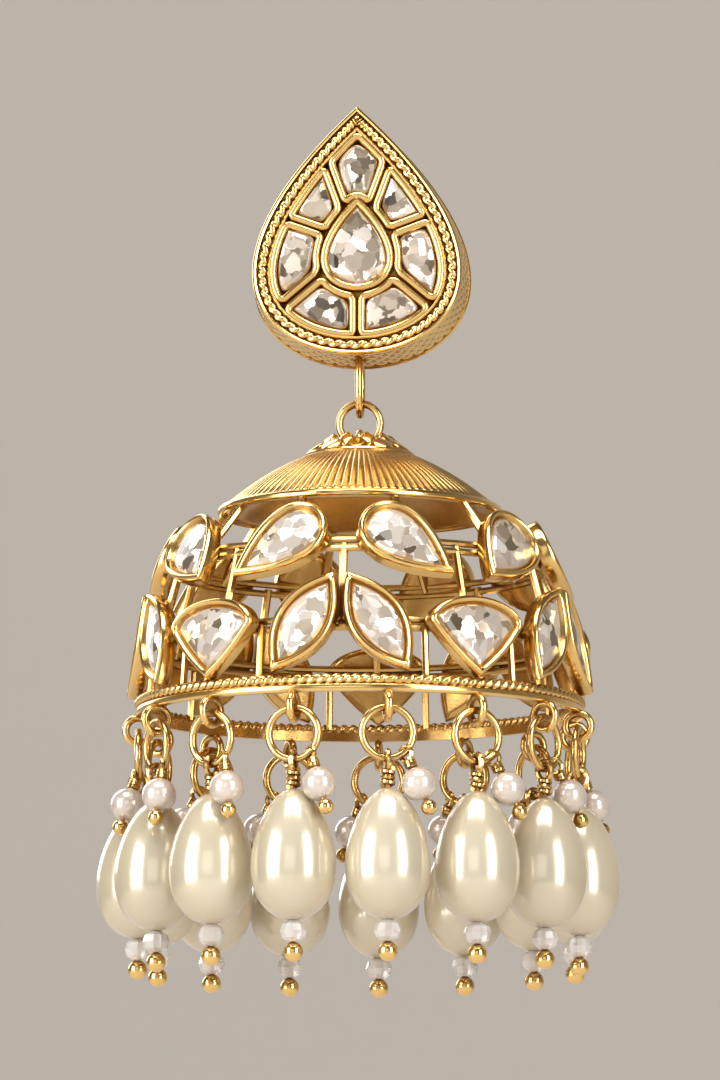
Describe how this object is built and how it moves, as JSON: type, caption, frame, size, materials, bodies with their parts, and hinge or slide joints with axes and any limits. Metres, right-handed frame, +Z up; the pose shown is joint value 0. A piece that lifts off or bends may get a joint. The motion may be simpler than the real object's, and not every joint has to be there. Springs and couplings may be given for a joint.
{
  "type": "kundan bell drop earring",
  "caption": "Teardrop stud with flat clear stones, from which an openwork bell hangs on a ring, edged with cream drop pearls.",
  "frame": {"origin": "where the ear post leaves the back of the stud, at the ear", "axes": "+Z up, the stud faces -Y, the ear post points along +Y"},
  "size_m": [0.0404, 0.0402, 0.0685],
  "materials": {
    "gold": "polished gold plating",
    "stone": "flat cut, clear, foil backed",
    "pearl": "cream pearl lustre"
  },
  "bodies": {
    "stud": {"ear_post": "gold", "stud_setting": "gold", "stud_stone_centre": "stone", "stud_stone_low_left": "stone", "stud_stone_low_right": "stone", "stud_stone_mid_left": "stone", "stud_stone_mid_right": "stone", "stud_stone_top": "stone", "stud_stone_upper_left": "stone", "stud_stone_upper_right": "stone"},
    "link": {"link_ring": "gold"},
    "bell": {"bell": "gold", "bell_stone_fan_01": "stone", "bell_stone_fan_02": "stone", "bell_stone_fan_03": "stone", "bell_stone_fan_04": "stone", "bell_stone_fan_05": "stone", "bell_stone_lower_01": "stone", "bell_stone_lower_02": "stone", "bell_stone_lower_03": "stone", "bell_stone_lower_04": "stone", "bell_stone_lower_05": "stone", "bell_stone_lower_06": "stone", "bell_stone_lower_07": "stone", "bell_stone_lower_08": "stone", "bell_stone_lower_09": "stone", "bell_stone_lower_10": "stone", "bell_stone_upper_01": "stone", "bell_stone_upper_02": "stone", "bell_stone_upper_03": "stone", "bell_stone_upper_04": "stone", "bell_stone_upper_05": "stone", "bell_stone_upper_06": "stone", "bell_stone_upper_07": "stone", "bell_stone_upper_08": "stone", "bell_stone_upper_09": "stone", "bell_stone_upper_10": "stone", "pearl_drop_01": "pearl", "pearl_drop_02": "pearl", "pearl_drop_03": "pearl", "pearl_drop_04": "pearl", "pearl_drop_05": "pearl", "pearl_drop_06": "pearl", "pearl_drop_07": "pearl", "pearl_drop_08": "pearl", "pearl_drop_09": "pearl", "pearl_drop_10": "pearl", "pearl_drop_11": "pearl", "pearl_drop_12": "pearl", "pearl_drop_13": "pearl", "pearl_drop_14": "pearl", "pearl_drop_15": "pearl"}
  },
  "joints": [
    {"name": "side_swing", "type": "hinge", "parent": "stud", "child": "link", "pos_m": [0, -0.0026, -0.0124], "axis": [0, 1, 0], "range_deg": [-45, 45]},
    {"name": "fore_swing", "type": "hinge", "parent": "link", "child": "bell", "pos_m": [0, -0.0026, -0.0147], "axis": [1, 0, 0], "range_deg": [-45, 45]}
  ]
}
